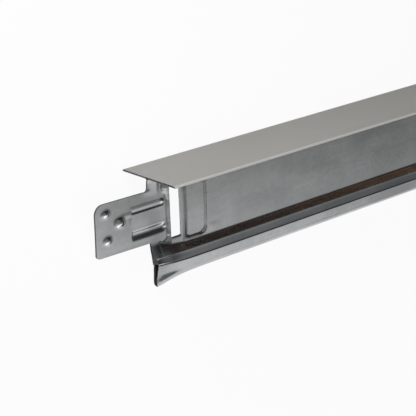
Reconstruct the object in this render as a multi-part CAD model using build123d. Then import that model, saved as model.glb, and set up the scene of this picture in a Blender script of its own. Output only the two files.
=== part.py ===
from build123d import *
import math
import os

# Ceiling grid tee, 24 mm face and 32 mm high, in millimetres. It is worked out upright in the section frame
# (X along the tee, Y across it, Z up, face at Z = 0, bulb below) and laid on its side at the end.

LENGTH = 600.0                 # length of the face, the standard length of the tee
FACE_WIDTH = 24.0
HEIGHT = 32.0
SHEET = 0.3                    # galvanised strip of the body
CAP_SHEET = 0.25               # painted strip of the face
HEM_WIDTH = 2.0                # how far the cap is folded under the flange
ROOT_BEND = 0.5                # inside radius where the flange turns down into the web
ROOT_LAP = 0.4                 # straight part of the root below its bends

# bulb, measured up from its bottom and out from the middle of the web
SHOULDER_START_UP = 8.9
SHOULDER_END_UP = 7.6
SHOULDER_HALF = 2.4
WIDEST_UP = 4.9
BULB_HALF = 3.0
BULB_ROUND = 2.1               # height of the bottom round
BULB_ROUND_HALF = 2.4

# squashed end of the bulb, measured up from the same bottom
SQUASH_SHOULDER_START_UP = 11.1
SQUASH_SHOULDER_END_UP = 7.0
SQUASH_HALF = 1.0
SQUASH_WIDEST = 1.1
SQUASH_DROP = 2.0              # how far the squashing pushes the bottom down
SQUASH_LIP = 2.6               # height of the lip below the crease
SQUASH_STATIONS = ((1.0, 1.0), (2.6, 0.68), (5.0, 0.43), (7.5, 0.22), (10.0, 0.09), (14.0, 0.0))
BULB_SETBACK = 1.0             # the bulb's end stands back from the end of the face
END_SLOPE = 4.5                # height over which the end edge slopes back to the bulb

# splice tab
TAB_LENGTH = 19.2              # beyond the end of the face
TAB_TOP = 4.0
TAB_LOW_UP = 11.9              # from the bottom of the bulb up to the tab's lower edge
TAB_TOP_CORNER = 3.0
TAB_BOTTOM_CORNER = 1.2
TAB_TAPER = 0.4                # how much lower the top edge runs at the root than at the tip
NOTCH_RADIUS = 1.1

# joggle that sets the tab zone back by a sheet and a half
JOGGLE = 0.9
JOGGLE_START = 6.2
JOGGLE_RUN = 0.9

# window behind the tab
WINDOW_GAP = 0.1               # between the joggle and the window
WINDOW_WIDTH = 4.0
WINDOW_TOP = 3.2
WINDOW_BELOW_TAB = 0.2         # how far the window reaches below the tab's lower edge
WINDOW_CORNER = 0.5

# recessed panel that takes the tip of the other tee's tab
PANEL_GAP = 0.9                # between the window and the panel
PANEL_WIDTH = 9.1
PANEL_TOP = 3.0
PANEL_ABOVE_BULB = 0.6         # from the panel down to the bulb's shoulder
PANEL_DEPTH = 0.5
PANEL_SLOPE = 0.9              # width of the sloping wall round the panel
PANEL_CORNER = 2.8
PANEL_INNER_CORNER = 0.4

# ribs across the root of the tab
RIB_START = -6.9
RIB_GAP = 0.3                  # between the ribs and the joggle
RIB_FROM_TOP = 4.7             # middle of the upper rib below the tab's top edge
RIB_FROM_LOW = 3.6             # middle of the lower rib above the tab's lower edge
RIB_HALF_HEIGHT = 1.35
RIB_RELIEF = 0.55

# locking dimples: two round ones near the tip and a larger one that snaps into the window
DIMPLE_IN = 4.1                # from the tip of the tab
DIMPLE_FROM_TOP = 3.3
DIMPLE_FROM_LOW = 4.4
DIMPLE_BASE = 1.4
LOCK_IN = 8.7
LOCK_FROM_TOP = 7.4
LOCK_BASE = 1.5
LOCK_EXTRA = 1.2               # straight stretch of the large one along Z
DIMPLE_RELIEF = 0.7

WEB = 2.0 * SHEET
HALF_WEB = WEB / 2.0
BODY_TOP = -CAP_SHEET
FLANGE_UNDER = BODY_TOP - SHEET
BEND_DEPTH = -FLANGE_UNDER + ROOT_BEND
ROOT_DEPTH = BEND_DEPTH + ROOT_LAP
HEM_THICK = 2.0 * CAP_SHEET + SHEET
FLANGE_HALF = FACE_WIDTH / 2.0 - HEM_THICK / 2.0
FAR = 2.0 * HEIGHT             # longer than any section dimension, for cutters
MIDDLE = LENGTH / 2.0

# depths below the face
SHOULDER_START = HEIGHT - SHOULDER_START_UP
SHOULDER_END = HEIGHT - SHOULDER_END_UP
WIDEST_DEPTH = HEIGHT - WIDEST_UP
BULB_TURN = HEIGHT - BULB_ROUND
SQUASH_SHOULDER_START = HEIGHT - SQUASH_SHOULDER_START_UP
SQUASH_SHOULDER_END = HEIGHT - SQUASH_SHOULDER_END_UP
SQUASH_DEPTH = HEIGHT + SQUASH_DROP
SQUASH_TURN = SQUASH_DEPTH - SQUASH_LIP
TAB_LOW = HEIGHT - TAB_LOW_UP
WINDOW_BOTTOM = TAB_LOW + WINDOW_BELOW_TAB
PANEL_BOTTOM = SHOULDER_START - PANEL_ABOVE_BULB
RIB_DEPTHS = (TAB_TOP + RIB_FROM_TOP, TAB_LOW - RIB_FROM_LOW)
WEB_LOW = -TAB_LOW

# places along X
JOGGLE_END = JOGGLE_START + JOGGLE_RUN
WINDOW_START = JOGGLE_END + WINDOW_GAP
PANEL_START = WINDOW_START + WINDOW_WIDTH + PANEL_GAP
PANEL_END = PANEL_START + PANEL_WIDTH
RIB_END = JOGGLE_START - RIB_GAP

# place along X, depth below the face, base radius and straight stretch of each dimple
DIMPLES = (
    (DIMPLE_IN - TAB_LENGTH, TAB_TOP + DIMPLE_FROM_TOP, DIMPLE_BASE, 0.0),
    (LOCK_IN - TAB_LENGTH, TAB_TOP + LOCK_FROM_TOP, LOCK_BASE, LOCK_EXTRA),
    (DIMPLE_IN - TAB_LENGTH, TAB_LOW - DIMPLE_FROM_LOW, DIMPLE_BASE, 0.0),
)


def closed_wire(points, arcs=()):
    """Closed wire through 3-D points; arcs names the points that are only passed through by an arc."""
    edges, i, n = [], 0, len(points)
    while i < n:
        nxt = (i + 1) % n
        if nxt in arcs:
            edges.append(Edge.make_three_point_arc(points[i], points[nxt], points[(i + 2) % n]))
            i += 2
        else:
            edges.append(Edge.make_line(points[i], points[nxt]))
            i += 1
    return Wire(edges)


def line_meet(p, d, q, e):
    """Where the line through p along d crosses the line through q along e."""
    det = d[0] * e[1] - d[1] * e[0]
    t = ((q[0] - p[0]) * e[1] - (q[1] - p[1]) * e[0]) / det
    return (p[0] + d[0] * t, p[1] + d[1] * t)


def inset(chain, gap, side):
    """Chain of (y, z) points moved sideways by gap; side is +1 or -1 for the half of the bulb it lies on."""
    moved = []
    for a, b in zip(chain, chain[1:]):
        dy, dz = b[0] - a[0], b[1] - a[1]
        long = math.hypot(dy, dz)
        ny, nz = dz / long * side, -dy / long * side
        moved.append(((a[0] + ny * gap, a[1] + nz * gap), (dy, dz)))
    out = [moved[0][0]]
    for (p, d), (q, e) in zip(moved, moved[1:]):
        out.append(line_meet(p, d, q, e))
    last, way = moved[-1]
    out.append((last[0] + way[0], last[1] + way[1]))
    return out


def mix(full, flat, squash):
    """A size part of the way from the full bulb to its squashed end; squash runs from 0 to 1."""
    return full + (flat - full) * squash


def bulb_turn(squash):
    """Depth and half width of the place where the bottom round starts, and the depth of the bottom."""
    return (
        mix(BULB_TURN, SQUASH_TURN, squash),
        mix(BULB_ROUND_HALF, SQUASH_HALF, squash),
        mix(HEIGHT, SQUASH_DEPTH, squash),
    )


def bulb_chain(side, squash, shift):
    """Outside of one half of the bulb, from the web down to its round; shift is how far the web stands off."""
    turn, turn_half, _ = bulb_turn(squash)
    web_face = side * HALF_WEB + shift
    return [
        (web_face, WEB_LOW),
        (web_face, -mix(SHOULDER_START, SQUASH_SHOULDER_START, squash)),
        (side * mix(SHOULDER_HALF, SQUASH_HALF, squash), -mix(SHOULDER_END, SQUASH_SHOULDER_END, squash)),
        (side * mix(BULB_HALF, SQUASH_WIDEST, squash), -WIDEST_DEPTH),
        (side * turn_half, -turn),
    ]


def round_bottom(x, turn, half, bottom):
    """Half ellipse that closes a bulb outline from its front side round to its back."""
    plane = Plane(origin=(x, 0, -turn), x_dir=(0, -1, 0), z_dir=(1, 0, 0))
    return Edge.make_ellipse(half, bottom - turn, plane, start_angle=0.0, end_angle=180.0)


def bulb_wire(x, front, back, turn, half, bottom):
    """Closed outline of the bulb from its two sides and its bottom round."""
    edges = [Edge.make_line(Vector(x, *a), Vector(x, *b)) for a, b in zip(front, front[1:])]
    edges.append(round_bottom(x, turn, half, bottom))
    up = back[::-1]
    edges += [Edge.make_line(Vector(x, *a), Vector(x, *b)) for a, b in zip(up, up[1:])]
    edges.append(Edge.make_line(Vector(x, *back[0]), Vector(x, *front[0])))
    return Wire(edges)


def bulb_wires(x, squash, shift):
    """Outer and inner outlines of the bulb at x."""
    turn, half, bottom = bulb_turn(squash)
    front, back = bulb_chain(-1, squash, shift), bulb_chain(1, squash, shift)
    outer = bulb_wire(x, front, back, turn, half, bottom)
    fi, bi = inset(front, SHEET, -1), inset(back, SHEET, 1)
    tip_y, tip_z = (fi[1][0] + bi[1][0]) / 2.0, min(fi[1][1], bi[1][1])
    fold = SHEET / 10.0
    front_in = [(tip_y - fold, tip_z)] + fi[2:-1] + [(-(half - SHEET), -turn)]
    back_in = [(tip_y + fold, tip_z)] + bi[2:-1] + [(half - SHEET, -turn)]
    inner = bulb_wire(x, front_in, back_in, turn, half - SHEET, bottom - SHEET)
    return outer, inner


def between(table, x):
    """Value at x from a table of (x, value) pairs, level beyond its ends."""
    if x <= table[0][0]:
        return table[0][1]
    for (x0, a), (x1, b) in zip(table, table[1:]):
        if x <= x1:
            return a + (b - a) * (x - x0) / (x1 - x0)
    return table[-1][1]


def bulb(x_end):
    """Hollow bulb with its squashed end, from the end of the face to x_end."""
    web_shift = ((JOGGLE_START, JOGGLE), (JOGGLE_END, 0.0))
    places = sorted({-BULB_SETBACK, JOGGLE_START, JOGGLE_END, x_end} | {x for x, _ in SQUASH_STATIONS})
    outlines = [bulb_wires(x, between(SQUASH_STATIONS, x), between(web_shift, x)) for x in places]
    outers, inners = zip(*outlines)
    outer = Solid.make_loft(list(outers), ruled=True)
    inner = Solid.make_loft(list(inners), ruled=True)
    beyond, cut = -2.0 * BULB_SETBACK, BULB_SETBACK
    trim = Plane.XZ * Polygon(
        (beyond, WEB_LOW), (0.0, WEB_LOW), (cut, WEB_LOW - END_SLOPE), (cut, -FAR), (beyond, -FAR), align=None
    )
    return outer - inner - extrude(trim, amount=FAR, both=True)


def root_outline(c):
    """Section of the two bends at the root, with the web's middle at c, as (y, z) points."""
    r, outer = ROOT_BEND, ROOT_BEND + SHEET
    half_in, half_out = r * math.sqrt(0.5), outer * math.sqrt(0.5)
    middle = HALF_WEB + r
    return [
        (c - middle, BODY_TOP),
        (c - middle + half_out, -BEND_DEPTH + half_out),
        (c, -BEND_DEPTH),
        (c + middle - half_out, -BEND_DEPTH + half_out),
        (c + middle, BODY_TOP),
        (c + middle, FLANGE_UNDER),
        (c + middle - half_in, -BEND_DEPTH + half_in),
        (c + HALF_WEB, -BEND_DEPTH),
        (c + HALF_WEB, -ROOT_DEPTH),
        (c - HALF_WEB, -ROOT_DEPTH),
        (c - HALF_WEB, -BEND_DEPTH),
        (c - middle + half_in, -BEND_DEPTH + half_in),
        (c - middle, FLANGE_UNDER),
    ]


def root(centre0, x0, centre1, x1):
    """The two bends that carry the flange into the web, between two places along the tee."""
    wires = []
    for x, c in ((x0, centre0), (x1, centre1)):
        points = [Vector(x, y, z) for y, z in root_outline(c)]
        wires.append(closed_wire(points, arcs=(1, 3, 6, 11)))
    return Solid.make_loft(wires, ruled=True)


def flange_halves(x0, x1, c0, c1):
    """The flat halves of the flange on both sides of the root bends."""
    out = []
    for side in (-1, 1):
        e0 = c0 + side * (HALF_WEB + ROOT_BEND)
        e1 = c1 + side * (HALF_WEB + ROOT_BEND)
        edge = side * FLANGE_HALF
        low = Wire.make_polygon([Vector(x0, e0, FLANGE_UNDER), Vector(x1, e1, FLANGE_UNDER),
                                 Vector(x1, edge, FLANGE_UNDER), Vector(x0, edge, FLANGE_UNDER)], close=True)
        out.append(Solid.extrude(Face(low), Vector(0, 0, SHEET)))
    return out


def web_plan(points, half):
    """Band of even thickness along a path of (x, y) points, as (x, y) outline."""
    left, right = [], []
    for i, (x, y) in enumerate(points):
        x0, y0 = points[max(i - 1, 0)]
        x1, y1 = points[min(i + 1, len(points) - 1)]
        a = math.atan2(y - y0, x - x0) if i else math.atan2(y1 - y, x1 - x)
        b = math.atan2(y1 - y, x1 - x) if i < len(points) - 1 else a
        m, k = (a + b) / 2.0, half / math.cos((b - a) / 2.0)
        left.append((x - k * math.sin(m), y + k * math.cos(m)))
        right.append((x + k * math.sin(m), y - k * math.cos(m)))
    return left + right[::-1]


def web(x_end):
    """Doubled web with the joggle and the tab, before its relief is pressed in."""
    path = ((-TAB_LENGTH, JOGGLE), (JOGGLE_START, JOGGLE), (JOGGLE_END, 0.0), (x_end, 0.0))
    outline = web_plan(path, HALF_WEB)
    plan = Face(Wire.make_polygon([Vector(x, y, WEB_LOW) for x, y in outline], close=True))
    band = Solid.extrude(plan, Vector(0, 0, -WEB_LOW - ROOT_DEPTH))
    side = Plane.XZ * Polygon(
        (-TAB_LENGTH, WEB_LOW), (x_end, WEB_LOW), (x_end, -ROOT_DEPTH), (0.0, -ROOT_DEPTH),
        (0.0, -TAB_TOP - TAB_TAPER), (-TAB_LENGTH, -TAB_TOP), align=None,
    )
    corners = side.vertices()
    notch = corners.sort_by_distance((0.0, 0.0, -TAB_TOP - TAB_TAPER))[0]
    top = corners.sort_by_distance((-TAB_LENGTH, 0.0, -TAB_TOP))[0]
    low = corners.sort_by_distance((-TAB_LENGTH, 0.0, WEB_LOW))[0]
    side = fillet(notch, NOTCH_RADIUS)
    side = fillet(side.vertices().sort_by_distance(top.center())[0], TAB_TOP_CORNER)
    side = fillet(side.vertices().sort_by_distance(low.center())[0], TAB_BOTTOM_CORNER)
    return band & extrude(side, amount=FAR, both=True)


def window():
    """Cutter for the window behind the tab, with small round corners."""
    height = WINDOW_BOTTOM - WINDOW_TOP
    middle = (WINDOW_START + WINDOW_WIDTH / 2.0, 0, -(WINDOW_TOP + height / 2.0))
    outline = Plane(origin=middle, x_dir=(1, 0, 0), z_dir=(0, -1, 0)) * RectangleRounded(
        WINDOW_WIDTH, height, WINDOW_CORNER
    )
    return extrude(outline, amount=FAR, both=True)


def panel_outline(in_by):
    """D shape with two large corners away from the window, drawn in by in_by all round."""
    x0, x1 = PANEL_START + in_by, PANEL_END - in_by
    z0, z1 = -PANEL_BOTTOM + in_by, -PANEL_TOP - in_by
    plate = Polygon((x0, z0), (x1, z0), (x1, z1), (x0, z1), align=None)
    plate = fillet(plate.vertices().sort_by(Axis.X)[-2:], PANEL_CORNER - in_by)
    return fillet(plate.vertices().sort_by(Axis.X)[:2], PANEL_INNER_CORNER)


def panel(face_y):
    """Sloping-walled D block from the surface at face_y to PANEL_DEPTH behind it."""
    layers = []
    for y, in_by in ((face_y, 0.0), (face_y + PANEL_DEPTH, PANEL_SLOPE)):
        level = Plane(origin=(0, y, 0), x_dir=(1, 0, 0), z_dir=(0, -1, 0))
        layers.append((level * panel_outline(in_by)).face().outer_wire())
    return Solid.make_loft(layers, ruled=True)


def rib(depth, radius_more):
    """Round-bottomed groove along X in the front of the tab, or what it pushes out behind by radius_more."""
    front = JOGGLE - HALF_WEB
    radius = (RIB_HALF_HEIGHT ** 2 + RIB_RELIEF ** 2) / (2.0 * RIB_RELIEF)
    y = front - (radius - RIB_RELIEF)
    r = radius + radius_more
    x0, x1 = RIB_START + RIB_HALF_HEIGHT, RIB_END - RIB_HALF_HEIGHT
    bar = Solid.make_cylinder(r, x1 - x0, Plane(origin=(x0, y, -depth), z_dir=(1, 0, 0)))
    ends = [Pos(x, y, -depth) * Sphere(r) for x in (x0, x1)]
    return bar + ends


def dimple(x, depth, base, extra, radius_less):
    """Dome raised on the front of the tab, or its hollow when radius_less is the thickness of the tab."""
    front = JOGGLE - HALF_WEB
    radius = (base ** 2 + DIMPLE_RELIEF ** 2) / (2.0 * DIMPLE_RELIEF)
    y = front + (radius - DIMPLE_RELIEF)
    r = radius - radius_less
    if extra <= 0.0:
        return Pos(x, y, -depth) * Sphere(r)
    post = Solid.make_cylinder(r, extra, Plane(origin=(x, y, -depth - extra / 2.0), z_dir=(0, 0, 1)))
    return post + [Pos(x, y, -depth + s * extra / 2.0) * Sphere(r) for s in (-1, 1)]


def slab(y0, y1):
    """Wide flat block between two Y planes, used to keep one side of a cutter."""
    return Pos(0, (y0 + y1) / 2.0, -HEIGHT / 2.0) * Box(FAR, y1 - y0, FAR)


def pressed(sheet):
    """The web with its ribs, dimples, window and panel pressed in."""
    front, back = JOGGLE - HALF_WEB, JOGGLE + HALF_WEB
    behind, before = slab(back - HALF_WEB, back + FAR), slab(front - FAR, front + HALF_WEB)
    for depth in RIB_DEPTHS:
        sheet = sheet + (rib(depth, WEB) & behind)
        sheet = sheet - rib(depth, 0.0)
    for spec in DIMPLES:
        sheet = sheet + (dimple(*spec, 0.0) & before)
        sheet = sheet - dimple(*spec, WEB)
    sheet = sheet + panel(HALF_WEB) - panel(-HALF_WEB)
    return sheet - window()


def half_body():
    """Half of the body, from one stamped end to the middle."""
    parts = [pressed(web(MIDDLE)), bulb(MIDDLE)]
    steps = ((0.0, JOGGLE), (JOGGLE_START, JOGGLE), (JOGGLE_END, 0.0), (MIDDLE, 0.0))
    for (x0, c0), (x1, c1) in zip(steps, steps[1:]):
        parts.append(root(c0, x0, c1, x1))
        parts.extend(flange_halves(x0, x1, c0, c1))
    whole = parts[0]
    for piece in parts[1:]:
        whole = whole + piece
    return whole


def tee_body():
    """The whole body: the same stamped end at both ends, one turned about the upright axis."""
    half = half_body()
    other = Pos(LENGTH, 0, 0) * Rot(0, 0, 180) * half
    return half + other


def face_cap():
    """Painted strip over the flange with a hem under each long edge."""
    t, w = CAP_SHEET, FACE_WIDTH / 2.0
    fold = HEM_THICK / 2.0
    under = -HEM_THICK
    outline = [
        (-w + fold, 0.0), (w - fold, 0.0), (w, -fold), (w - fold, under), (w - HEM_WIDTH, under),
        (w - HEM_WIDTH, under + t), (w - fold, under + t), (w - t, -fold), (w - fold, -t),
        (-w + fold, -t), (-w + t, -fold), (-w + fold, under + t), (-w + HEM_WIDTH, under + t),
        (-w + HEM_WIDTH, under), (-w + fold, under), (-w, -fold),
    ]
    wire = closed_wire([Vector(0, y, z) for y, z in outline], arcs=(2, 7, 10, 15))
    return Solid.extrude(Face(wire), Vector(LENGTH, 0, 0))


def rest_tilt():
    """Angle of the web to the floor, in radians, when the edge of the face and the bulb both touch it."""
    edge = HEM_THICK / 2.0
    low, high = 0.0, math.pi / 4.0
    for _ in range(40):
        t = (low + high) / 2.0
        face_reach = FLANGE_HALF * math.cos(t) + edge * math.sin(t) + edge
        round_reach = math.hypot(BULB_ROUND_HALF * math.cos(t), BULB_ROUND * math.sin(t))
        bulb_reach = BULB_TURN * math.sin(t) + round_reach
        if face_reach > bulb_reach:
            low = t
        else:
            high = t
    return low


def lie_down(shape):
    """Lays the upright tee on its back, so that one edge of the face and the bulb touch the floor."""
    turned = Pos(-MIDDLE, 0, 0) * shape
    return Rot(-90.0 + math.degrees(rest_tilt()), 0, 0) * turned


def settle(shapes):
    """Sets the pieces on the floor with the origin under the middle of their common box."""
    box = Compound(shapes).bounding_box()
    shift = Pos(-(box.min.X + box.max.X) / 2.0, -(box.min.Y + box.max.Y) / 2.0, -box.min.Z)
    return [shift * s for s in shapes]


def main():
    os.makedirs("parts", exist_ok=True)
    body, cap = settle([lie_down(tee_body()), lie_down(face_cap())])
    for name, piece in (("tee_body", body), ("face_cap", cap)):
        solids = piece.solids()
        print(name, len(solids), "solid", round(piece.volume, 1), "mm3", piece.bounding_box())
        export_step(solids[0] if len(solids) == 1 else Compound(solids), f"parts/{name}.step")


main()
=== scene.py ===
import bpy
import math
import numpy as np
from mathutils import Matrix, Vector


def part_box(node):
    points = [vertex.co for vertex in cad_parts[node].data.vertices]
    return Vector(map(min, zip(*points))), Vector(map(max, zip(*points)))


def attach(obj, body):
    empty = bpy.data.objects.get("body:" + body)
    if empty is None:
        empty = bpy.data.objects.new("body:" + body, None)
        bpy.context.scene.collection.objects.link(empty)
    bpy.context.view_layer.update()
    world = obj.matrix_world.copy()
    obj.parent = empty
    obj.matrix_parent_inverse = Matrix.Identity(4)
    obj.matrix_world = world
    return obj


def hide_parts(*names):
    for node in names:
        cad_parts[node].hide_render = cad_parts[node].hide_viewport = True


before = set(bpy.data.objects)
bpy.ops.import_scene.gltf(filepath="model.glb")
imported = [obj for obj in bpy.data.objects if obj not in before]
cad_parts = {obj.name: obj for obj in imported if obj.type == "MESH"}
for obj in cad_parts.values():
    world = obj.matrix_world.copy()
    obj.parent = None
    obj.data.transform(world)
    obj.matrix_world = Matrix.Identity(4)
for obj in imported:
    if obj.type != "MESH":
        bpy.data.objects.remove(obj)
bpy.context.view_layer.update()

# Sizes in millimetres, in the upright section frame: X along the tee, Y across it with the front at minus Y,
# Z up from the face. A depth is measured down from the face.
LENGTH = 600.0
MIDDLE = LENGTH / 2.0
FACE_HALF = 12.0
SHEET = 0.3
CAP_SHEET = 0.25
HEM_WIDTH = 2.0
HEM_SETBACK = 0.45                     # of the hems from the ends of the face
HEM_RUN = 4.0                          # along the tee until they have run out to the full length again
FOLD = CAP_SHEET + SHEET / 2.0         # radius of the cap's rolled edge
HALF_WEB = SHEET
BODY_TOP = -CAP_SHEET
UNDER = BODY_TOP - SHEET
BEND = 0.5                             # inside radius of the root bends
BEND_DEPTH = BEND - UNDER
FLANGE_HALF = FACE_HALF - FOLD
HEIGHT = 32.0
SEAM = 0.1                             # depth of the groove between the two layers of a cut edge

# splice tab and neck
TAB_LENGTH = 19.2
TAB_TOP = 4.0
TAB_TAPER = 0.4
TAB_LOW = 20.1
TAB_TOP_CORNER = 3.0
TAB_LOW_CORNER = 1.2
NOTCH = 1.1
NECK = TAB_TOP + TAB_TAPER - NOTCH     # where the end edge of the neck runs into the notch
TAB_BOW = 0.12                         # bulge of the tab to the front over its height
RIB_BOW = 0.07                         # further bulge between the ribs
TWIST = (0.024, 0.003)                 # tilt of the tab at its root, less this for each millimetre to its tip
NECK_LEAN = 0.11                       # of the neck to the front, for each millimetre of height
NECK_FLARE = 0.17                      # of the neck's end edge to the back
FLARE_RUN = 0.7

# joggle, window and panel
JOGGLE = 0.9
JOGGLE_END = 7.1
FOOT = (                               # height and place along X of the joggle's foot line
    (-23.0, 2.6), (-21.6, 3.0), (-20.2, 5.9), (-17.6, 6.05), (-15.3, 6.05), (-13.0, 5.95), (-10.7, 5.9),
    (-8.4, 5.9), (-6.5, 5.5), (-5.5, 4.8), (-4.4, 4.5), (-3.4, 4.8), (-1.0, 5.8),
)
FOOT_RISE = 0.22                       # share of the joggle that each millimetre of the first stretch takes
FOOT_RUN = 0.8                         # length of that stretch
WINDOW = (7.2, 10.95, 3.2, 20.3)       # from, to, top, bottom
WINDOW_CORNER = 0.5
SILL = (0.14, 0.2)                     # height and width of the ridge along the window's bottom
PANEL = (11.5, 21.2, 3.0, 22.5)        # from, to, top, bottom
PANEL_CORNERS = (0.5, 2.8)             # beside the window, and on the other side
PANEL_DEPTH = 0.42
PANEL_DROP = 0.35                      # share by which its floor lies deeper at the bottom
PANEL_WALLS = (2.0, 0.9)               # width of its wall beside the window, and on the other sides

# ribs, dimples and knocks
RIB_STEPS = (0.0, 0.15, 0.3, 0.42, 0.55, 0.82, 1.0, 1.3, 4.6)
RIBS = (                               # depth, half height, then the relief from the middle down and up
    (8.7, 1.15, (-0.055, -0.03, -0.005, 0.015, 0.00, -0.13, -0.19, -0.15, 0.0),
     (-0.055, -0.085, -0.125, -0.095, -0.065, -0.08, 0.0, 0.0, 0.0)),
    (16.55, 1.4, (0.49, 0.415, 0.34, 0.28, 0.215, 0.08, 0.0, 0.0, 0.0),
     (0.49, 0.515, 0.52, 0.515, 0.49, 0.31, 0.185, 0.0, 0.0)),
)
RIB_SPAN = (-6.5, 5.9)
RIB_END = 0.4                          # radius of the ribs' ends towards the tip
DIMPLES = (                            # place along X, depth, width, straight stretch, relief to the front
    (-15.2, 7.2, 0.85, 0.0, 0.56),
    (-10.4, 10.9, 0.95, 0.4, 0.80),
    (-14.9, 15.3, 0.80, 0.3, 0.56),
)
DIMPLE_SPREAD = 1.5                    # how much further each runs out towards the tip
KNOCKS = (                             # stretch along X, stretch in depth, width, height to the back
    (5.0, 5.0, 8.3, 8.3, 0.50, -0.30),
    (5.5, 5.5, 16.15, 16.15, 0.50, -0.30),
    (6.7, 6.7, 18.9, 18.9, 0.40, -0.14),
    (6.2, 6.2, 4.7, 4.7, 0.35, -0.12),
    (6.6, 6.6, 3.5, 3.5, 0.35, -0.16),
    (12.9, 12.9, 5.0, 5.0, 0.70, 0.20),
    (20.2, 20.2, 5.2, 5.2, 0.60, 0.18),
    (-9.4, -7.2, 9.4, 9.6, 0.60, -0.09),
    (22.4, 24.4, 20.3, 21.0, 0.70, -0.05),
)
WAVES = (                              # height, length along X over two pi, phase, turn per millimetre of Z
    (0.018, 4.9, 0.0, 0.11),
    (0.024, 9.7, 1.3, -0.07),
    (0.030, 21.0, 2.1, 0.05),
)
CAMBER = 0.22                          # bulge of the web near the end
CAMBER_LOSS = 0.08                     # how much flatter it is further in
MID_DEPTH = 11.5                       # middle of the web's and the tab's height

# bulb: half width full and squashed, then depth full and squashed, of each line along it
BULB = {
    "fold": ((2.46, 1.0), (24.5, 25.05)),
    "lip": ((2.47, 0.95), (24.85, 25.33)),
    "bead": ((2.81, 1.24), (26.73, 26.73)),
    "ridge": ((2.88, 1.14), (27.02, 27.02)),
    "ledge": ((3.02, 1.24), (27.26, 27.26)),
    "crease": ((2.465, 0.81), (29.64, 31.44)),
    "low": ((2.4, 0.80), (29.9, 31.7)),
}
BULB_BOTTOM = (HEIGHT, 34.0)           # its depth full and squashed
INNER_TIP = (-0.15, (23.3, 26.4))      # place across when squashed, then depth full and squashed
INNER_FOLD = ((2.4, 0.12), (24.4, 26.7))    # half width, then depth, each full and squashed
BULB_TOP = ((3.4, 20.95), (7.2, 22.2), (12.4, 23.0), (16.0, 23.1))    # place along X, depth of its shoulder
BULB_TOP_DEPTH = 22.9                  # where the shoulder takes its place across from the web
ROUNDS = (0.45, 0.2, 0.08)             # how far the shoulder's, the fold's and the ledge's bends reach
STRAIGHT_ROWS = 10                     # rows from the web down to the shoulder's bend
SQUASH_REACH = 7.0
SQUASH_POWER = 1.6
SQUASH_LEAN = 0.20                     # of the squashed fold towards the back
SQUASH_SWELL = 0.15                    # of the squashed bottom round
END_EDGE = (                           # height, and how far the end edge stands back from the end of the face
    (-34.2, 1.25), (-33.4, 0.66), (-31.4, 0.64), (-30.0, 0.88), (-28.1, 1.05), (-27.4, 1.25), (-26.0, 1.20),
    (-24.4, 0.77), (-23.1, 0.30), (-21.2, 0.06), (-20.1, 0.0),
)
END_EDGE_RUN = 6.0                     # along the tee until the columns are upright again

NEAR = 1e-6                            # places closer than this are equal
STEEL, CUT, INSIDE, PAINTED_HIGHLIGHT = range(4)    # order of the body's materials, the last a lighter cut edge that is a painted highlight; the cap's first is its paint

TILT = math.radians(17.8967)           # of the web to the floor, as the tee lies
TURN = Matrix.Rotation(-math.pi / 2.0 + TILT, 3, "X")

# camera in the section frame
CAMERA_PLACE = (-241.408, -312.544, 129.187)
CAMERA_AXES = (                        # to the right, up and back
    (0.75506, -0.65444, -0.03996),
    (0.24639, 0.22674, 0.94227),
    (-0.6076, -0.72132, 0.33245),
)
CAMERA_LENS = 125.94

# lamps of the lying tee: place in metres, side in metres, watts, and whether metal shows them
LAMPS = (
    ("top_light", (-0.50, -0.16, 0.55), 0.55, 1.7, False),
    ("face_light", (-0.355, 0.17, 0.08), 0.10, 0.165, False),
    ("low_light", (-0.22, -0.43, 0.108), 0.13, 0.15, True),
)
LAMP_AIM = (-0.28, 0.0, 0.0)


def smooth(a, b, x):
    """Zero before a, one past b, and the cubic 3t squared less 2t cubed of the share t between them."""
    t = np.clip((x - a) / (b - a), 0.0, 1.0)
    return t * t * (3.0 - 2.0 * t)


def soft_positive(y, edge):
    """Half of y plus the root of y squared plus edge squared: y where it is positive, running out to zero."""
    return 0.5 * (y + np.sqrt(y * y + edge * edge))


def capsule(x, z, x0, x1, z0, z1):
    """Distance from the nearest point of the box x0 to x1, z0 to z1, which is a line where two are equal."""
    return np.hypot(x - np.clip(x, x0, x1), z - np.clip(z, z0, z1))


def groove(x, z, depth, half, down, up):
    """Relief of a rib: one table from its middle line down to its rim and one up, blended by direction."""
    left, right = RIB_SPAN[0] + RIB_END, RIB_SPAN[1] - half
    beyond = np.maximum((left - x) * half / RIB_END, 0.0) + np.maximum(x - right, 0.0)
    d = np.hypot(beyond, z + depth)
    share = 0.5 + 0.5 * (z + depth) / np.maximum(d, NEAR)
    across = d / half
    return np.interp(across, RIB_STEPS, down) * (1.0 - share) + np.interp(across, RIB_STEPS, up) * share


def dimples(x, z):
    """Sum of the dimples: for each, its relief times e to minus the square of the distance over its width."""
    relief = 0.0
    for place, depth, width, straight, height in DIMPLES:
        away = np.where(x < place, (place - x) / DIMPLE_SPREAD, x - place)
        d = capsule(away, z, 0.0, 0.0, -depth - straight / 2.0, -depth + straight / 2.0)
        relief = relief + height * np.exp(-(d / width) ** 2)
    return relief


def knocks(x, z):
    """Sum of the knocks: for each, its height times e to minus the square of the distance over its width."""
    return sum(height * np.exp(-(capsule(x, z, x0, x1, -low, -top) / width) ** 2)
               for x0, x1, top, low, width, height in KNOCKS)


def turned_edges(x, z):
    """Ridge along the window's bottom and flare of the neck's end: height times e to minus the distance."""
    x0, x1, _, bottom = WINDOW
    at_window = smooth(x0 - 0.3, x0 + 0.3, x) * (1.0 - smooth(x1 - 0.3, x1 + 0.3, x))
    at_neck = (x > -0.5) * smooth(-4.6, -3.6, z) * smooth(-1.05, -1.8, z)
    sill = SILL[0] * at_window * np.exp(-np.abs(z + bottom) / SILL[1])
    return sill + NECK_FLARE * at_neck * np.exp(-np.maximum(x, 0.0) / FLARE_RUN)


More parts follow.
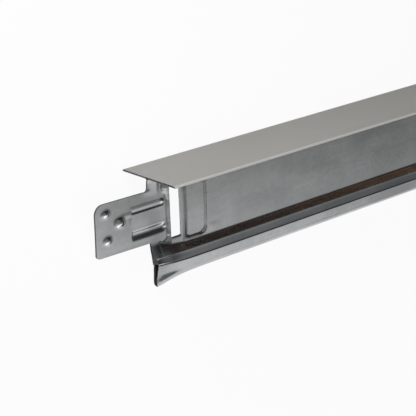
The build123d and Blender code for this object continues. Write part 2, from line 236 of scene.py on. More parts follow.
def camber(x, z):
    """Bulge of the web to the front: a parabola over its height, which starts beyond the window."""
    share = np.clip((z + MID_DEPTH) / 9.5, -1.2, 1.0)
    height = CAMBER - CAMBER_LOSS * smooth(24.0, 50.0, x)
    return height * (1.0 - share * share) * smooth(9.0, 13.0, x) * (1.0 - smooth(240.0, 294.0, x))


def panel_distance(x, z):
    """Signed distance from the D outline: a rectangle with wide corners on the side away from the window."""
    x0, x1, top, low = PANEL
    cx, cz = (x0 + x1) / 2.0, -(top + low) / 2.0
    corner = np.where(x > cx, PANEL_CORNERS[1], PANEL_CORNERS[0])
    qx = np.abs(x - cx) - (x1 - x0) / 2.0 + corner
    qz = np.abs(z - cz) - (low - top) / 2.0 + corner
    outside = np.hypot(np.maximum(qx, 0.0), np.maximum(qz, 0.0))
    return np.minimum(np.maximum(qx, qz), 0.0) + outside - corner


def panel_recess(x, z):
    """Depth of the panel: its wall falls at a gentle slope from the outline, then a steep one to its floor.

    The gentle part takes half of the wall, and three quarters of it round the lower corner.
    """
    x0, _, _, bottom = PANEL
    right = smooth(x0 + 1.0, x0 + 3.0, x)
    low = right * smooth(-12.0, -17.0, z)
    corner = smooth(17.0, 19.0, x) * (1.0 - smooth(0.8 - bottom, 2.2 - bottom, z))
    wall = PANEL_WALLS[0] + (PANEL_WALLS[1] - PANEL_WALLS[0]) * right
    wall = wall - 0.15 * (1.0 - smooth(0.8 - bottom, 2.5 - bottom, z))
    inward = -panel_distance(x, z) / wall
    turn = 0.5 + 0.25 * low
    gentle = 0.42 - 0.12 * low + 0.12 * corner
    steep = gentle + (1.0 - gentle) / (1.0 - turn)
    fall = gentle * soft_positive(inward, 0.08) + (steep - gentle) * soft_positive(inward - turn, 0.08)
    fall = fall - steep * soft_positive(inward - 1.0, 0.08)
    return PANEL_DEPTH * (1.0 + PANEL_DROP * smooth(-13.0, -21.5, z)) * fall


def joggle(x, z):
    """Step of JOGGLE to the back, which falls away over two slopes from a foot line given by height."""
    foot = np.interp(z, *np.transpose(FOOT))
    width = JOGGLE_END + 0.15 - foot
    fast = (1.0 - FOOT_RISE * width) / (width - FOOT_RUN)
    rise = FOOT_RISE * soft_positive(x - foot, 0.05) + fast * soft_positive(x - foot - FOOT_RUN, 0.05)
    return JOGGLE * (1.0 - np.minimum(rise, 1.0))


def rolling_waves(x, z):
    """Sum of long sine waves in x and z, some hundredths of a millimetre high, faded out at the middle."""
    wave = sum(height * np.sin(x / length + phase + turn * z) for height, length, phase, turn in WAVES)
    inside = smooth(-20.0, -15.0, z) * (1.0 - smooth(-6.0, -1.5, z))
    return wave * inside * smooth(22.0, 32.0, x) * (1.0 - smooth(250.0, 296.0, x))


def tab_lean(x, z):
    """Place of the tab: two parabolas to the front over its height, a twist to its tip, a leaning neck."""
    on_tab = 1.0 - smooth(-2.0, 5.2, x)
    share = np.clip((z + MID_DEPTH) / 8.6, -1.0, 1.0)
    between = np.clip((z + 12.6) / 3.4, -1.0, 1.0)
    bow = -TAB_BOW * (1.0 - share * share) * smooth(-20.4, -18.0, z)
    bow = bow - RIB_BOW * (1.0 - between * between) * smooth(-8.0, -5.0, x)
    twist = (TWIST[0] + TWIST[1] * np.minimum(x, 0.0)) * (z + 12.0)
    lean = NECK_LEAN * soft_positive(z + 5.8, 0.6) * smooth(-3.0, 0.0, x) * (1.0 - smooth(3.0, 4.4, x))
    return on_tab * (bow + twist) - lean


def web_offset(x, z):
    """Place of the web's middle across the tee: the sum of its forms, those to the front as negatives."""
    y = joggle(x, z)
    for rib in RIBS:
        y = y + groove(x, z, *rib)
    y = y - dimples(x, z) + panel_recess(x, z) + knocks(x, z) + turned_edges(x, z)
    return y + tab_lean(x, z) - camber(x, z) + rolling_waves(x, z)


def squash(x):
    """How far the bulb is pressed flat: e to minus the power of x over its reach, so one at the end."""
    return np.exp(-(np.maximum(x, 0.0) / SQUASH_REACH) ** SQUASH_POWER)


def end_edge(x, z):
    """Setback of the end edge from a table by height, which runs out in a straight line as x grows."""
    return np.interp(z, *np.transpose(END_EDGE)) * np.maximum(0.0, 1.0 - x / END_EDGE_RUN)


def bezier(a, b, c, count):
    """Quadratic Bezier from a to c with control point b, at count even steps, for whole arrays of points."""
    t = np.linspace(0.0, 1.0, count)[:, None]
    return np.stack([(1 - t) ** 2 * a[k] + 2 * t * (1 - t) * b[k] + t * t * c[k] for k in (0, 1)])


def line(a, b, count):
    """Even steps from a to b without their ends."""
    t = np.linspace(0.0, 1.0, count + 2)[1:-1, None]
    return np.stack([a[k] + (b[k] - a[k]) * t for k in (0, 1)])


def toward(a, b, run):
    """Point at the distance run from a on the way to b."""
    long = np.hypot(b[0] - a[0], b[1] - a[1])
    return np.stack([a[k] + (b[k] - a[k]) * (run / long) for k in (0, 1)])


def bulb_side(start, corners, half, bottom, swell):
    """Polyline from start over eight corners, four of them rounded, and a quarter ellipse to the bottom."""
    tip, fold, lip, bead, ridge, ledge, crease, low = corners
    a1, b1 = toward(tip, start, ROUNDS[0]), toward(tip, fold, ROUNDS[0])
    a2, b2 = toward(fold, tip, ROUNDS[1]), toward(fold, lip, 0.5 * ROUNDS[1])
    a3, b3 = toward(ridge, bead, ROUNDS[2]), toward(ridge, ledge, ROUNDS[2])
    a4, b4 = toward(ledge, ridge, ROUNDS[2]), toward(ledge, crease, 3.0 * ROUNDS[2])
    phi = np.linspace(0.0, math.pi / 2.0, 9)[:, None]
    arc = np.stack([half * np.cos(phi) + swell * np.sin(2.0 * phi), low[1] - (low[1] - bottom) * np.sin(phi)])
    rows = [line(start, a1, STRAIGHT_ROWS), bezier(a1, tip, b1, 5), line(b1, a2, 3), bezier(a2, fold, b2, 4),
            lip[:, None], line(lip, bead, 2), bead[:, None], bezier(a3, ridge, b3, 3),
            bezier(a4, ledge, b4, 4), line(b4, crease, 2), crease[:, None], line(crease, low, 1), arc]
    return np.concatenate(rows, axis=1)


def bulb_rows(x, side, inner):
    """Half section of the bulb at each x, mixed between its full and its squashed sizes by squash(x).

    The inner line is the outer one moved in by the sheet, with its own shoulder, where the layers part.
    """
    s = squash(x)
    t = SHEET if inner else 0.0
    mix = lambda full, flat: full + (flat - full) * s
    point = lambda name: np.stack([side * (mix(*BULB[name][0]) - t), -mix(*BULB[name][1])])
    face = web_offset(x, np.full_like(x, -BULB_TOP_DEPTH)) + side * (HALF_WEB - t)
    start = np.stack([face, np.full_like(x, -WINDOW[3])])
    if inner:
        (wide, pressed), depths = INNER_FOLD
        tip = np.stack([mix(face - side * (HALF_WEB - t), INNER_TIP[0]), -mix(*INNER_TIP[1])])
        fold = np.stack([mix(wide - t, pressed) * side, -(mix(*depths) + 0.6 * t)])
        lip = fold + np.array([[0.0], [-0.1]])
    else:
        tip = np.stack([face, -np.interp(x, *np.transpose(BULB_TOP))])
        lean = np.stack([SQUASH_LEAN * s, np.zeros_like(x)])
        fold, lip = point("fold") + lean, point("lip") + lean
    bead, ridge, ledge, crease, low = map(point, ("bead", "ridge", "ledge", "crease", "low"))
    step = 0.10 * (0.3 + 0.7 * smooth(1.2, 3.0, x)) * (1.0 - smooth(6.0, 9.5, x))
    half = low[0] + side * step
    low = np.stack([half, low[1]])
    corners = (tip, fold, lip, bead, ridge, ledge, crease, low)
    return bulb_side(start, corners, half, t - mix(*BULB_BOTTOM), side * SQUASH_SWELL * s)


def arc_rows(cy, radius, side, count):
    """Quarter circle from its top down to the web's side of it, about the centre cy at the bend's depth."""
    phi = np.linspace(0.0, math.pi / 2.0, count)[:, None]
    return np.stack([cy - side * radius * np.sin(phi), -BEND_DEPTH + radius * np.cos(phi) + 0.0 * cy])


def sheet_line(x, mid, z, side, r, c):
    """Points of the front or back of the doubled sheet along a row or a column of its grid."""
    return x[r, c], mid[r, c] + side * HALF_WEB, z[r, c]


class Sheet:
    """Collects grids of points and turns them into one mesh with its equal points joined."""

    def __init__(self):
        self.points, self.faces, self.kinds, self.count = [], [], [], 0

    def grid(self, x, y, z, flip=False, kind=STEEL, keep=None):
        """Quads between neighbours of a grid of points; flip turns them over, keep leaves some out."""
        x, y, z = np.broadcast_arrays(x, y, z)
        index = np.arange(x.size).reshape(x.shape) + self.count
        quads = np.stack([index[:-1, :-1], index[1:, :-1], index[1:, 1:], index[:-1, 1:]], axis=-1)
        if keep is not None:
            quads = quads[keep]
        quads = quads.reshape(-1, 4)
        self.faces.append(quads[:, ::-1] if flip else quads)
        self.kinds.append(np.full(len(quads), kind))
        self.points.append(np.stack([x.ravel(), y.ravel(), z.ravel()], axis=1))
        self.count += x.size

    def rim(self, a, b, flip, inward, kind=CUT):
        """Strip across the doubled sheet from line a to line b, with its middle moved inward by SEAM."""
        share = np.array([0.0, 0.44, 0.5, 0.56, 1.0])[:, None]
        pts = [a[k][None] + (b[k] - a[k])[None] * share for k in range(3)]
        for k in range(3):
            pts[k][2] = pts[k][2] + inward[k] * SEAM
        self.grid(*pts, flip=flip, kind=kind)

    def halves(self):
        """The same again turned by half a turn about the upright axis through the middle of the tee."""
        pts = np.concatenate(self.points)
        other = pts * np.array([-1.0, -1.0, 1.0]) + np.array([LENGTH, 0.0, 0.0])
        faces = np.concatenate(self.faces)
        kinds = np.concatenate(self.kinds)
        return np.concatenate([pts, other]), np.concatenate([faces, faces + len(pts)]), np.tile(kinds, 2)


def weld(points, faces, kinds, step=0.002):
    """Joins points that round to the same step, and drops faces that have no area left."""
    _, first, same = np.unique(np.round(points / step).astype(np.int64), axis=0, return_index=True,
                               return_inverse=True)
    faces = same.reshape(-1)[faces]
    doubled = faces == np.roll(faces, -1, axis=1)
    whole = doubled.sum(axis=1) == 0
    three = doubled.sum(axis=1) == 1
    order = np.argsort(~doubled[three], axis=1, kind="stable")
    tris = np.take_along_axis(faces[three], np.sort(order[:, 1:], axis=1), axis=1)
    return points[first], faces[whole], kinds[whole], tris, kinds[three]


def to_row(points, shift):
    """Turns section points onto the tee's back, moves its middle over the origin, and gives metres."""
    turned = (points - np.array([MIDDLE, 0.0, 0.0])) @ np.array(TURN).T
    return (turned + shift) / 1000.0


def make_object(name, points, quads, kinds, tris, tri_kinds, materials):
    """Mesh object from quads and triangles, flat only along edges sharper than 32 degrees."""
    mesh = bpy.data.meshes.new(name)
    corners = np.concatenate([quads.ravel(), tris.ravel()]).astype(np.int32)
    starts = np.concatenate([np.arange(len(quads)) * 4, len(quads) * 4 + np.arange(len(tris)) * 3])
    mesh.vertices.add(len(points))
    mesh.vertices.foreach_set("co", points.astype(np.float32).ravel())
    mesh.loops.add(len(corners))
    mesh.loops.foreach_set("vertex_index", corners)
    mesh.polygons.add(len(starts))
    mesh.polygons.foreach_set("loop_start", starts.astype(np.int32))
    mesh.polygons.foreach_set("material_index", np.concatenate([kinds, tri_kinds]).astype(np.int32))
    mesh.polygons.foreach_set("use_smooth", np.ones(len(starts), bool))
    mesh.update(calc_edges=True)
    mesh.set_sharp_from_angle(angle=math.radians(32.0))
    for material in materials:
        mesh.materials.append(material)
    obj = bpy.data.objects.new(name, mesh)
    bpy.context.scene.collection.objects.link(obj)
    return obj


def spread(*stops):
    """Places from stretches given as (end, count) after a first place."""
    out = [np.array([stops[0]])]
    for end, count in stops[1:]:
        out.append(np.linspace(out[-1][-1], end, count + 1)[1:])
    return np.concatenate(out)


def round_window(x, z):
    """Pulls points on the window's edge that lie in its corners onto quarter circles."""
    x0, x1, top, low = WINDOW
    r = WINDOW_CORNER
    cx, cz = np.clip(x, x0 + r, x1 - r), np.clip(z, -low + r, -top - r)
    dx, dz = x - cx, z - cz
    far = np.hypot(dx, dz)
    edge = (np.isclose(np.abs(dx), r) & (dz != 0)) | (np.isclose(np.abs(dz), r) & (dx != 0))
    inside = (x >= x0 - NEAR) & (x <= x1 + NEAR) & (z <= -top + NEAR) & (z >= -low - NEAR)
    k = np.where(edge & inside & (far > 0), r / np.maximum(far, 1e-9), 1.0)
    return cx + dx * k, cz + dz * k


def flange_side(body, xs, root, side):
    """Half of the flange: level from its edge to the root bend's quarter circle, with both cut edges."""
    back = side > 0
    share = np.linspace(0.0, 1.0, 5)[:, None]
    centre = root + side * (HALF_WEB + BEND)
    flat = side * FLANGE_HALF + (centre - side * FLANGE_HALF) * share
    lines = []
    for level, radius in ((UNDER, BEND), (BODY_TOP, BEND + SHEET)):
        bend_y, bend_z = arc_rows(centre, radius, side, 7)
        lines.append((np.concatenate([flat, bend_y[1:]]), np.concatenate([0.0 * flat + level, bend_z[1:]])))
    (under_y, under_z), (top_y, top_z) = lines
    body.grid(xs[None], under_y, under_z, flip=back)
    body.grid(xs[None], top_y, top_z, flip=not back)
    body.grid(xs[None], np.stack([under_y[0], top_y[0]]), np.stack([under_z[0], top_z[0]]), flip=not back,
              kind=CUT)
    body.grid(np.zeros((2, len(under_y))), np.stack([under_y[:, 0], top_y[:, 0]]),
              np.stack([under_z[:, 0], top_z[:, 0]]), flip=not back, kind=CUT)


def half_bulb(body, xs, last_row, side):
    """One side of the bulb on from the web's last row: outer face, inner face with fewer columns, end edge.

    Returns the points at the end down to the shoulder's bend.
    """
    back = side > 0
    upper, lower = slice(0, STRAIGHT_ROWS), slice(STRAIGHT_ROWS, None)
    outer = bulb_rows(xs, side, False)
    outer[0][upper] = web_offset(xs[None], outer[1][upper]) + side * HALF_WEB
    along = xs[None] + end_edge(xs[None], outer[1])
    joined = [np.concatenate([row[None], rows]) for row, rows in zip(last_row, (along, *outer))]
    body.grid(*joined, flip=back)
    inner = bulb_rows(xs, side, True)
    few = np.r_[0:40:4, 40:len(xs) - 1:12, len(xs) - 1]
    body.grid(along[lower, few], inner[0][lower, few], inner[1][lower, few], flip=not back, kind=INSIDE)
    body.grid(np.stack([along[lower, 0]] * 2), np.stack([outer[0][lower, 0], inner[0][lower, 0]]),
              np.stack([outer[1][lower, 0], inner[1][lower, 0]]), flip=not back, kind=CUT)
    return [rows[:STRAIGHT_ROWS + 1, 0] for rows in (along, *outer)]


def half_tee():
    """Half of the body from its stamped end to the middle, as grids of columns along X and rows around."""
    body = Sheet()
    x0, x1, top, low = WINDOW
    xs = spread(0.0, (4.8, 20), (x0, 16), (x0 + 0.5, 3), (x1 - 0.5, 7), (x1, 3), (13.0, 10), (19.9, 14),
                (22.2, 11), (32.0, 8), (100.0, 11), (MIDDLE, 10))
    zs = -spread(BEND_DEPTH, (top, 5), (NECK, 1), (top + 0.5, 1), (6.6, 13), (10.0, 16), (15.0, 18),
                 (18.1, 15), (TAB_LOW, 7), (low, 1))
    web_z, web_x = np.meshgrid(zs, xs, indexing="ij")
    web_x, web_z = round_window(web_x, web_z)
    web_x = web_x + end_edge(web_x, web_z)
    mid = web_offset(web_x, web_z)
    web = (web_x, mid, web_z)
    root = web_offset(xs, np.full_like(xs, -BEND_DEPTH))
    row_open = (zs[:-1] <= -top + NEAR) & (zs[1:] >= -low - NEAR)
    col_open = (xs[:-1] >= x0 - NEAR) & (xs[1:] <= x1 + NEAR)
    keep = ~(row_open[:, None] & col_open[None, :])
    foot = zs <= -TAB_LOW + NEAR
    low_end = []
    for side in (-1, 1):
        body.grid(web_x, mid + side * HALF_WEB, web_z, flip=side > 0, keep=keep)
        flange_side(body, xs, root, side)
        bulb_end = half_bulb(body, xs, sheet_line(*web, side, -1, slice(None)), side)
        low_end.append([np.concatenate(pair) for pair in zip(sheet_line(*web, side, foot, 0), bulb_end)])
    neck = zs >= -NECK - NEAR
    body.rim(sheet_line(*web, -1, neck, 0), sheet_line(*web, 1, neck, 0), flip=True, inward=(1, 0, 0))
    body.rim(*low_end, flip=True, inward=(1, 0, 0))
    cols = np.where((xs >= x0 - NEAR) & (xs <= x1 + NEAR))[0]
    rows = np.where((zs <= -top + NEAR) & (zs >= -low - NEAR))[0]
    # The window's far cut edge takes the lighter copy of the cut steel: a painted highlight.
    for r, c, flip, inward, kind in (
        (rows, cols[0], False, (-1, 0, 0), CUT), (rows, cols[-1], True, (1, 0, 0), PAINTED_HIGHLIGHT),
        (rows[0], cols, True, (0, 0, 1), CUT), (rows[-1], cols, False, (0, 0, -1), CUT),
    ):
        body.rim(sheet_line(*web, -1, r, c), sheet_line(*web, 1, r, c), flip=flip, inward=inward, kind=kind)
    tab(body, zs)
    return body


def tab(body, zs):
    """The tab: its rows are the web's, drawn together between a top and a bottom edge that vary along X."""
    phi = np.linspace(0.0, math.pi / 2.0, 9)
    notch = -NOTCH + NOTCH * np.sin(phi)
    tip = -TAB_LENGTH + TAB_TOP_CORNER * (1.0 - np.sin(np.linspace(math.pi / 2.0, 0.0, 15)))
    xs = np.concatenate([tip, np.linspace(tip[-1], notch[0], 68)[1:-1], notch])
    line_z = -TAB_TOP - TAB_TAPER * (xs + TAB_LENGTH) / TAB_LENGTH
    into_tip = np.maximum(0.0, TAB_TOP_CORNER - (xs + TAB_LENGTH))
    top = line_z - TAB_TOP_CORNER + np.sqrt(np.maximum(TAB_TOP_CORNER ** 2 - into_tip ** 2, 0.0))
    into_notch = np.maximum(0.0, xs + NOTCH)
    top = top + NOTCH - np.sqrt(np.maximum(NOTCH ** 2 - into_notch ** 2, 0.0))
    into_low = np.maximum(0.0, TAB_LOW_CORNER - (xs + TAB_LENGTH))
    low = -TAB_LOW + TAB_LOW_CORNER - np.sqrt(np.maximum(TAB_LOW_CORNER ** 2 - into_low ** 2, 0.0))
    rows = zs[(zs <= -NECK + NEAR) & (zs >= -TAB_LOW - NEAR)]
    drop, lift = rows[0] - top, low - rows[-1]
    reach = 3.0 + 2.0 * np.maximum(drop - 1.1, 0.0)
    z = rows[:, None] - drop * np.clip(1.0 - (rows[0] - rows[:, None]) / reach, 0.0, 1.0)
    z = z + lift * np.clip(1.0 - (rows[:, None] - rows[-1]) / 2.4, 0.0, 1.0)
    x = np.broadcast_to(xs[None], z.shape)
    mid = web_offset(x, z)
    for side in (-1, 1):
        body.grid(x, mid + side * HALF_WEB, z, flip=side > 0)
    every = slice(None)
    for r, c, flip, inward in ((0, every, False, (0, 0, -1)), (-1, every, True, (0, 0, 1)),
                               (every, 0, True, (1, 0, 0))):
        body.rim(sheet_line(x, mid, z, -1, r, c), sheet_line(x, mid, z, 1, r, c), flip=flip, inward=inward)


def cap_points():
    """Outer and inner line of the cap's section: face, two rolled edges of a half circle, and two hems."""
    phi = np.linspace(math.pi / 2.0, -math.pi / 2.0, 13)
    lines = []
    for radius in (FOLD, FOLD - CAP_SHEET):
        roll_y = FLANGE_HALF + radius * np.cos(phi)
        roll_z = -FOLD + radius * np.sin(phi)
        hem = np.linspace(FLANGE_HALF, FACE_HALF - HEM_WIDTH, 5)[1:]
        y = np.concatenate([np.linspace(0.0, FLANGE_HALF, 12)[:-1], roll_y, hem])
        z = np.concatenate([np.full(11, radius - FOLD), roll_z, np.full(4, -FOLD - radius)])
        lines.append((np.concatenate([-y[:0:-1], y]), np.concatenate([z[:0:-1], z])))
    return lines


def face_cap():
    """The painted cap: its section carried straight along X and cut square, its hems set back at the ends."""
    cap = Sheet()
    (oy, oz), (iy, iz) = cap_points()
    xs = spread(0.0, (0.4, 2), (4.0, 6), (40.0, 12), (MIDDLE, 14))
    columns = lambda a: np.broadcast_to(a[:, None], (len(a), len(xs)))
    cut = HEM_SETBACK * smooth(-FOLD, -2.0 * FOLD + 0.1, np.minimum(oz, iz))
    along = xs[None] + cut[:, None] * np.maximum(0.0, 1.0 - xs[None] / HEM_RUN)
    cap.grid(along, columns(oy), columns(oz), flip=True)
    cap.grid(along, columns(iy), columns(iz))
    for i, flip in ((0, False), (-1, True)):
        cap.grid(along[i][None], np.array([[oy[i]], [iy[i]]]), np.array([[oz[i]], [iz[i]]]), flip=flip,
                 kind=CUT)
    cap.grid(np.stack([along[:, 0]] * 2), np.stack([oy, iy]), np.stack([oz, iz]), flip=True, kind=CUT)
    return cap


class Flow:
    """One output of a shader node. Arithmetic with flows and numbers adds Math nodes."""

    def __init__(self, tree, socket=None):
        self.tree, self.socket = tree, socket

    def node(self, kind, settings, values, out=0):
        """Adds any node: its settings first, then numbers, colours or flows into its inputs."""
        made = self.tree.nodes.new(kind)
        for name, value in settings.items():
            setattr(made, name, value)
        for name, value in values.items():
            if isinstance(value, Flow):
                self.tree.links.new(value.socket, made.inputs[name])
            else:
                made.inputs[name].default_value = value
        return Flow(self.tree, made.outputs[out]) if len(made.outputs) else made

    def math(self, operation, *values):
        """Math node on flows and numbers."""
        return self.node("ShaderNodeMath", {"operation": operation}, dict(enumerate(values)))

    def __add__(self, other):
        return self.math("ADD", self, other)

    def __radd__(self, other):
        return self.math("ADD", other, self)

    def __sub__(self, other):
        return self.math("SUBTRACT", self, other)

    def __rsub__(self, other):
        return self.math("SUBTRACT", other, self)

    def __mul__(self, other):
        return self.math("MULTIPLY", self, other)

    def __rmul__(self, other):
        return self.math("MULTIPLY", other, self)


def step_up(flow, low, high):
    """Smooth rise from zero at low to one at high."""
    return flow.node("ShaderNodeMapRange", {"interpolation_type": "SMOOTHSTEP"},
                     {"Value": flow, "From Min": low, "From Max": high})


def noise(flow, at, scale, stretch=(1.0, 1.0, 1.0), detail=2.0, rough=0.5):
    """Noise at points drawn out along the axes; scale is in waves per metre."""
    where = flow.node("ShaderNodeVectorMath", {"operation": "MULTIPLY"}, {0: at, 1: stretch})
    return flow.node("ShaderNodeTexNoise", {}, {"Vector": where, "Scale": scale, "Detail": detail,
                                                "Roughness": rough})


def along_axis(flow, at, axis):
    """Part of a vector that lies along an axis."""
    return flow.node("ShaderNodeVectorMath", {"operation": "DOT_PRODUCT"}, {0: at, 1: tuple(axis)}, "Value")


def light_path(flow, name):
    """One of the facts about the ray that is being shaded."""
    return flow.node("ShaderNodeLightPath", {}, {}, name)


def blend(flow, share, a, b):
    """Colour part of the way from a to b."""
    return flow.node("ShaderNodeMix", {"data_type": "RGBA"}, {0: share, 6: a, 7: b}, 2)


def ramp(flow, share, stops):
    """Colour at a share from 0 to 1, by straight lines between (place, colour) stops."""
    made = flow.node("ShaderNodeValToRGB", {}, {0: share})
    elements = made.socket.node.color_ramp.elements
    while len(elements) < len(stops):
        elements.new(0.5)
    for element, (place, colour) in zip(elements, stops):
        element.position = place
        element.color = (*colour, 1.0)
    return made


def new_material(name):
    """Empty node tree with its output, and the point on the object in metres."""
    material = bpy.data.materials.new(name)
    material.use_nodes = True
    tree = material.node_tree
    tree.nodes.clear()
    flow = Flow(tree)
    at = flow.node("ShaderNodeTexCoord", {}, {}, "Object")
    return material, flow, at


def finish_material(flow, values, bump, height):
    """Principled surface with its bump, sent to the output."""
    normal = flow.node("ShaderNodeBump", {}, {"Strength": bump, "Distance": 0.001, "Height": height})
    surface = flow.node("ShaderNodeBsdfPrincipled", {}, dict(values, Normal=normal))
    flow.node("ShaderNodeOutputMaterial", {}, {"Surface": surface})


def galvanised_steel():
    """Zinc-coated strip: faint spangle, drawn-out rolling streaks, haze, hair scratches and a few specks."""
    material, flow, at = new_material("galvanised_steel")
    fine = noise(flow, at, 700.0, detail=4.0, rough=0.6)
    streaks = noise(flow, at, 800.0, (0.04, 1.0, 1.0), 4.0, 0.6)
    haze = noise(flow, at, 55.0, (1.0, 2.2, 2.2), 3.0)
    bands = noise(flow, at, 120.0, (1.0, 0.25, 0.25))
    scratch = step_up(noise(flow, at, 1300.0, (0.05, 1.0, 1.0)), 0.70, 0.74)
    specks = step_up(noise(flow, at, 1500.0), 0.72, 0.78)
    tone = step_up(0.25 * fine + 0.15 * streaks + 0.42 * haze + 0.18 * bands, 0.38, 0.62)
    colour = blend(flow, tone, (0.450, 0.457, 0.462, 1.0), (0.555, 0.560, 0.560, 1.0))
    colour = blend(flow, 0.35 * scratch, colour, (0.70, 0.70, 0.69, 1.0))
    colour = blend(flow, 0.4 * specks, colour, (0.12, 0.12, 0.12, 1.0))
    rough = 0.15 + 0.08 * haze + 0.05 * fine + 0.05 * streaks + 0.05 * scratch
    height = 0.006 * streaks + 0.006 * fine + 0.05 * haze + 0.03 * bands
    finish_material(flow, {"Base Color": colour, "Metallic": 1.0, "Roughness": rough}, 0.4, height)
    return material


def cut_steel_painted_light(name, dark, light):
    """Sheared edge of the strip: bare steel with drag lines and spots of zinc, in the caller's dark and light
    colours, which hold painted shade or a painted highlight.
    """
    material, flow, at = new_material(name)
    grain = noise(flow, at, 2600.0, (0.35, 1.0, 1.0), 3.0, 0.6)
    spots = step_up(noise(flow, at, 700.0), 0.52, 0.70)
    colour = blend(flow, grain, dark, light)
    colour = blend(flow, spots * 0.5, colour, (0.34, 0.35, 0.36, 1.0))
    values = {"Base Color": colour, "Metallic": 0.4, "Roughness": 0.40 + 0.25 * grain}
    finish_material(flow, values, 0.4, 0.05 * grain)
    return material


def inner_steel():
    """Inside of the rolled bulb: the same strip, dull and mottled, and painted darker all over as shade in
    the hollow.
    """
    material, flow, at = new_material("inner_steel")
    mottle = noise(flow, at, 260.0, (0.3, 1.0, 1.0), 4.0, 0.6)
    # Both colours lie well below the outer strip's: painted shade inside the hollow.
    colour = blend(flow, mottle, (0.16, 0.16, 0.165, 1.0), (0.34, 0.345, 0.35, 1.0))
    values = {"Base Color": colour, "Metallic": 0.8, "Roughness": 0.42 + 0.2 * mottle}
    finish_material(flow, values, 0.3, 0.02 * mottle)
    return material


def face_paint(shift):
    """Baked satin paint: orange peel, slow changes of tone, rubbing, dull spots, and a painted highlight on
    the rolled edges.
    """
    material, flow, at = new_material("face_paint")
    peel = noise(flow, at, 1400.0)
    tone = noise(flow, at, 22.0, (0.5, 1.0, 1.0), 3.0)
    rubs = noise(flow, at, 700.0, (0.02, 1.0, 1.0), 3.0, 0.6)
    spots = step_up(noise(flow, at, 320.0), 0.66, 0.78)
    colour = blend(flow, step_up(tone, 0.3, 0.7), (0.380, 0.366, 0.343, 1.0), (0.424, 0.410, 0.387, 1.0))
    colour = blend(flow, 0.25 * step_up(rubs, 0.55, 0.8), colour, (0.50, 0.49, 0.47, 1.0))
    colour = blend(flow, 0.18 * spots, colour, (0.22, 0.21, 0.20, 1.0))
    side = TURN @ Vector((0.0, 1.0, 0.0))
    from_middle = flow.math("ABSOLUTE", along_axis(flow, at, side) - side.dot(Vector(shift)) / 1000.0)
    # Painted highlight: the paint is made much lighter over the rolled edges, where light catches them.
    rolled = step_up(from_middle, (FACE_HALF - 0.5) / 1000.0, (FACE_HALF - 0.2) / 1000.0)
    colour = blend(flow, 0.85 * rolled, colour, (0.72, 0.71, 0.68, 1.0))
    values = {"Base Color": colour, "Roughness": 0.40 + 0.10 * tone + 0.08 * rubs, "Specular IOR Level": 0.25}
    finish_material(flow, values, 0.25, 0.012 * peel + 0.004 * rubs)
    return material


def floor_material():
    """Pale matt floor that the camera sees nearly white, with the object's shadow kept.

    Metal sees it pale too, and dim and brown where it comes by way of another piece of metal.
    """
    material, flow, at = new_material("floor")
    twice = step_up(light_path(flow, "Glossy Depth"), 1.2, 1.8)
    matt = flow.node("ShaderNodeBsdfDiffuse", {}, {"Color": (0.86, 0.86, 0.86, 1.0)})
    along = flow.node("ShaderNodeSeparateXYZ", {}, {"Vector": at}, "X")
    brown = blend(flow, step_up(along, -0.17, -0.10), (0.062, 0.042, 0.036, 1.0), (0.70, 0.38, 0.21, 1.0))
    dim = flow.node("ShaderNodeBsdfDiffuse", {}, {"Color": brown})
    shaded = flow.node("ShaderNodeMixShader", {}, {0: twice, 1: matt, 2: dim})
    glow = flow.node("ShaderNodeEmission", {}, {"Color": (1.0, 1.0, 1.0, 1.0), "Strength": 1.0})
    first = light_path(flow, "Is Glossy Ray") * (1.0 - twice)
    bright = light_path(flow, "Is Camera Ray") * 0.93 + first * 0.75
    shown = flow.node("ShaderNodeMixShader", {}, {0: bright, 1: shaded, 2: glow})
    flow.node("ShaderNodeOutputMaterial", {}, {"Surface": shown})
    return material


def grey_stops(tint, levels):
    """Ramp stops for (place from -1 to 1, level) pairs, each level times the tint."""
    return [(0.5 + 0.5 * place, tuple(part * level for part in tint)) for place, level in levels]


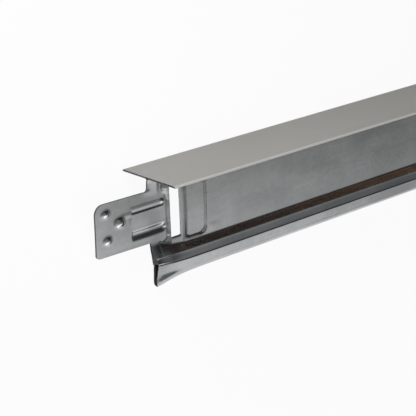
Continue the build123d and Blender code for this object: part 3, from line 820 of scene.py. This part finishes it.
def studio_world(up):
    """White surround for the camera, an even dim grey for paint, and a graded one for metal.

    Metal sees it by u, the part along the section's Z: beyond the far end it falls from white below through
    grey to a near black brown above, and on the near side it stays mid grey above. A thin dark band parts the
    two, and what comes by way of another piece of metal is brown.
    """
    world = bpy.data.worlds.new("studio")
    bpy.context.scene.world = world
    world.use_nodes = True
    tree = world.node_tree
    tree.nodes.clear()
    flow = Flow(tree)
    way = flow.node("ShaderNodeTexCoord", {}, {}, "Generated")
    u = along_axis(flow, way, up)
    x = flow.node("ShaderNodeSeparateXYZ", {}, {"Vector": way}, "X")
    stops = grey_stops((1.0, 1.015, 1.03), ((-1.0, 1.25), (-0.74, 1.10), (-0.56, 0.86), (-0.42, 0.79)))
    stops += grey_stops((1.0, 1.01, 1.0), ((-0.33, 0.57), (-0.24, 0.43), (-0.10, 0.27)))
    stops += [(0.50, (0.200, 0.218, 0.228)), (0.53, (0.185, 0.200, 0.210)), (0.575, (0.048, 0.034, 0.034)),
              (0.62, (0.016, 0.010, 0.010)), (0.70, (0.020, 0.012, 0.012)), (0.80, (0.058, 0.038, 0.036))]
    near_side = grey_stops((1.0, 1.01, 1.02), ((-1.0, 0.95), (-0.47, 0.80), (-0.35, 0.26), (0.0, 0.27),
                                               (0.50, 0.31), (1.0, 0.30)))
    share = 0.5 + 0.5 * u
    seen = blend(flow, step_up(x, 0.22, 0.34), ramp(flow, share, near_side), ramp(flow, share, stops))
    band = step_up(x, 0.14, 0.24) * (1.0 - step_up(x, 0.34, 0.45)) * step_up(u, -0.49, -0.38)
    seen = blend(flow, 0.90 * band + step_up(x, 0.585, 0.72) * 0.60, seen, (0.030, 0.034, 0.036, 1.0))
    brown = blend(flow, step_up(x, 0.64, 0.74), (0.050, 0.036, 0.034, 1.0), (0.20, 0.10, 0.06, 1.0))
    brown = blend(flow, step_up(u, -0.70, -0.50), brown, (0.050, 0.052, 0.056, 1.0))
    twice = step_up(light_path(flow, "Glossy Depth"), 1.2, 1.8)
    seen = blend(flow, twice * step_up(x, 0.14, 0.30), seen, brown)
    plain = blend(flow, light_path(flow, "Is Glossy Ray"), (0.185, 0.185, 0.185, 1.0), seen)
    colour = blend(flow, light_path(flow, "Is Camera Ray"), plain, (1.0, 1.0, 1.0, 1.0))
    ground = flow.node("ShaderNodeBackground", {}, {"Color": colour, "Strength": 1.0})
    flow.node("ShaderNodeOutputWorld", {}, {"Surface": ground})


def soft_lamp(name, place, size, power, shines):
    """Square soft box that faces the visible end; metal shows it only where shines is true."""
    data = bpy.data.lights.new(name, "AREA")
    data.size = size
    data.energy = power
    lamp = bpy.data.objects.new(name, data)
    bpy.context.scene.collection.objects.link(lamp)
    lamp.location = place
    lamp.rotation_euler = (Vector(LAMP_AIM) - Vector(place)).to_track_quat("-Z", "Y").to_euler()
    lamp.visible_glossy = shines
    lamp.visible_camera = False


def camera_at(shift):
    """Camera from its place and axes in the section frame, carried to the lying tee."""
    data = bpy.data.cameras.new("camera")
    camera = bpy.data.objects.new("camera", data)
    bpy.context.scene.collection.objects.link(camera)
    bpy.context.scene.camera = camera
    pose = Matrix.Identity(4)
    for column, axis in enumerate(CAMERA_AXES):
        for row, part in enumerate(TURN @ Vector(axis)):
            pose[row][column] = part
    pose.translation = Vector(to_row(np.array([CAMERA_PLACE]), shift)[0])
    camera.matrix_world = pose
    data.lens = CAMERA_LENS
    data.sensor_width = 36.0
    data.clip_start = 0.01


def lying_shift():
    """Move in millimetres that brings the turned cap's back and top to those of the cap in the frame."""
    _, cap_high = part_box("face_cap")
    (cap_y, cap_z), _ = cap_points()
    outline = np.stack([np.full_like(cap_y, MIDDLE), cap_y, cap_z], axis=1)
    lying = to_row(outline, np.zeros(3)) * 1000.0
    return np.array([0.0, cap_high[1] * 1000.0 - lying[:, 1].max(), cap_high[2] * 1000.0 - lying[:, 2].max()])


def main():
    """Body and cap with their materials, then floor, surround, lamps and camera."""
    shift = lying_shift()
    steel, inside, paint = galvanised_steel(), inner_steel(), face_paint(shift)
    # Cut edges: near black, partly the bare steel's own colour and partly painted shade along the edges.
    edge = cut_steel_painted_light("cut_steel_painted_light", (0.035, 0.036, 0.040, 1.0), (0.13, 0.13, 0.135, 1.0))
    # Lighter copy of the cut steel for the window's far cut edge: a painted highlight, not burnishing.
    painted_highlight_edge = cut_steel_painted_light("painted_highlight_steel", (0.55, 0.57, 0.58, 1.0), (0.72, 0.74, 0.74, 1.0))
    for name, sheet, node, slot, materials in (
        ("tee_sheet", half_tee(), "tee_body", "galvanised_steel", (steel, edge, inside, painted_highlight_edge)),
        ("cap_sheet", face_cap(), "face_cap", "painted_cap", (paint, edge)),
    ):
        points, faces, kinds = sheet.halves()
        parts = weld(points, faces, kinds)
        obj = make_object(name, to_row(parts[0], shift), *parts[1:], materials)
        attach(obj, "root")
        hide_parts(node)
        print(name, len(parts[0]), "points", 2 * len(parts[1]) + len(parts[3]), "triangles")

    bpy.ops.mesh.primitive_plane_add(size=6.0, location=(0.0, 0.0, -0.0002))
    floor = bpy.context.object
    floor.name = "floor"
    floor.data.materials.append(floor_material())

    studio_world(TURN @ Vector((0.0, 0.0, 1.0)))
    for lamp in LAMPS:
        soft_lamp(*lamp)
    camera_at(shift)
    bpy.context.scene.view_settings.view_transform = "Standard"


main()
